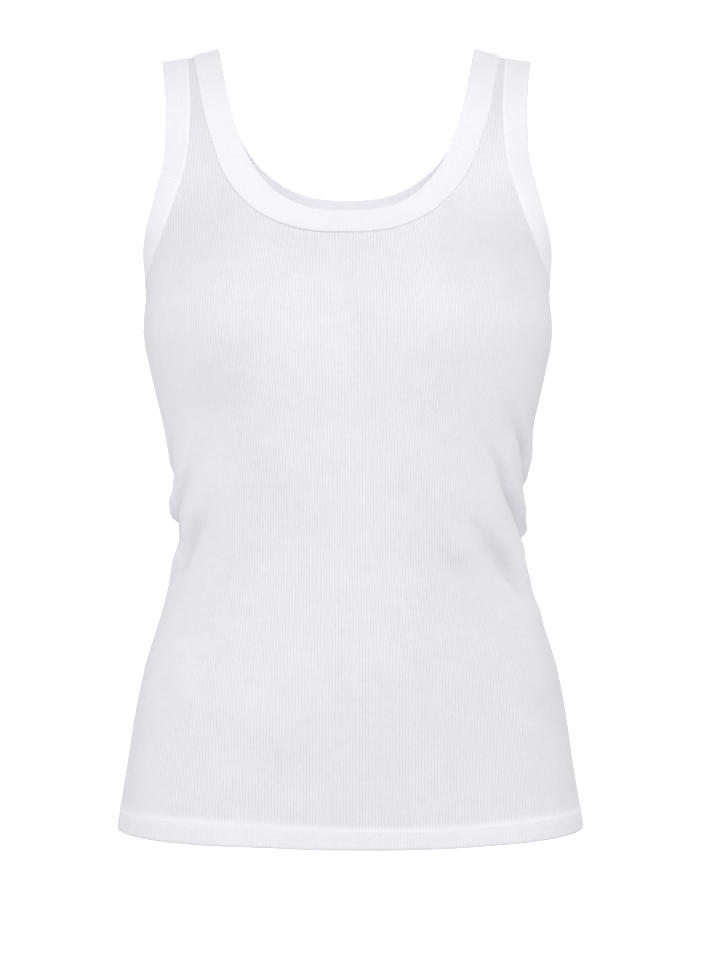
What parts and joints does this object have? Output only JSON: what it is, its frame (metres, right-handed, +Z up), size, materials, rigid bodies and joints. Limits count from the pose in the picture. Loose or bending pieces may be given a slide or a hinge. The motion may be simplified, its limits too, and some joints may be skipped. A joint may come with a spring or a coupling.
{
  "type": "tank top",
  "caption": "Fitted rib-knit tank top with a scoop neck, wide straps and bound edges, filled out as worn with its neck, armholes and hem open.",
  "frame": {"origin": "where the shoulders hold the straps up, midway between the two strap crests", "axes": "+X towards the wearer's left, -Y out of the front, +Z up from the hem to the shoulders"},
  "size_m": [0.359, 0.2345, 0.6012],
  "materials": {
    "rib_knit": "fine 1x1 rib knit, matt, cool white",
    "binding_knit": "stretched 1x1 rib, smoother and brighter white"
  },
  "bodies": {
    "root": {"front_panel": "rib_knit", "back_panel": "rib_knit", "neck_binding": "binding_knit", "armhole_binding_left": "binding_knit", "armhole_binding_right": "binding_knit"}
  },
  "joints": []
}
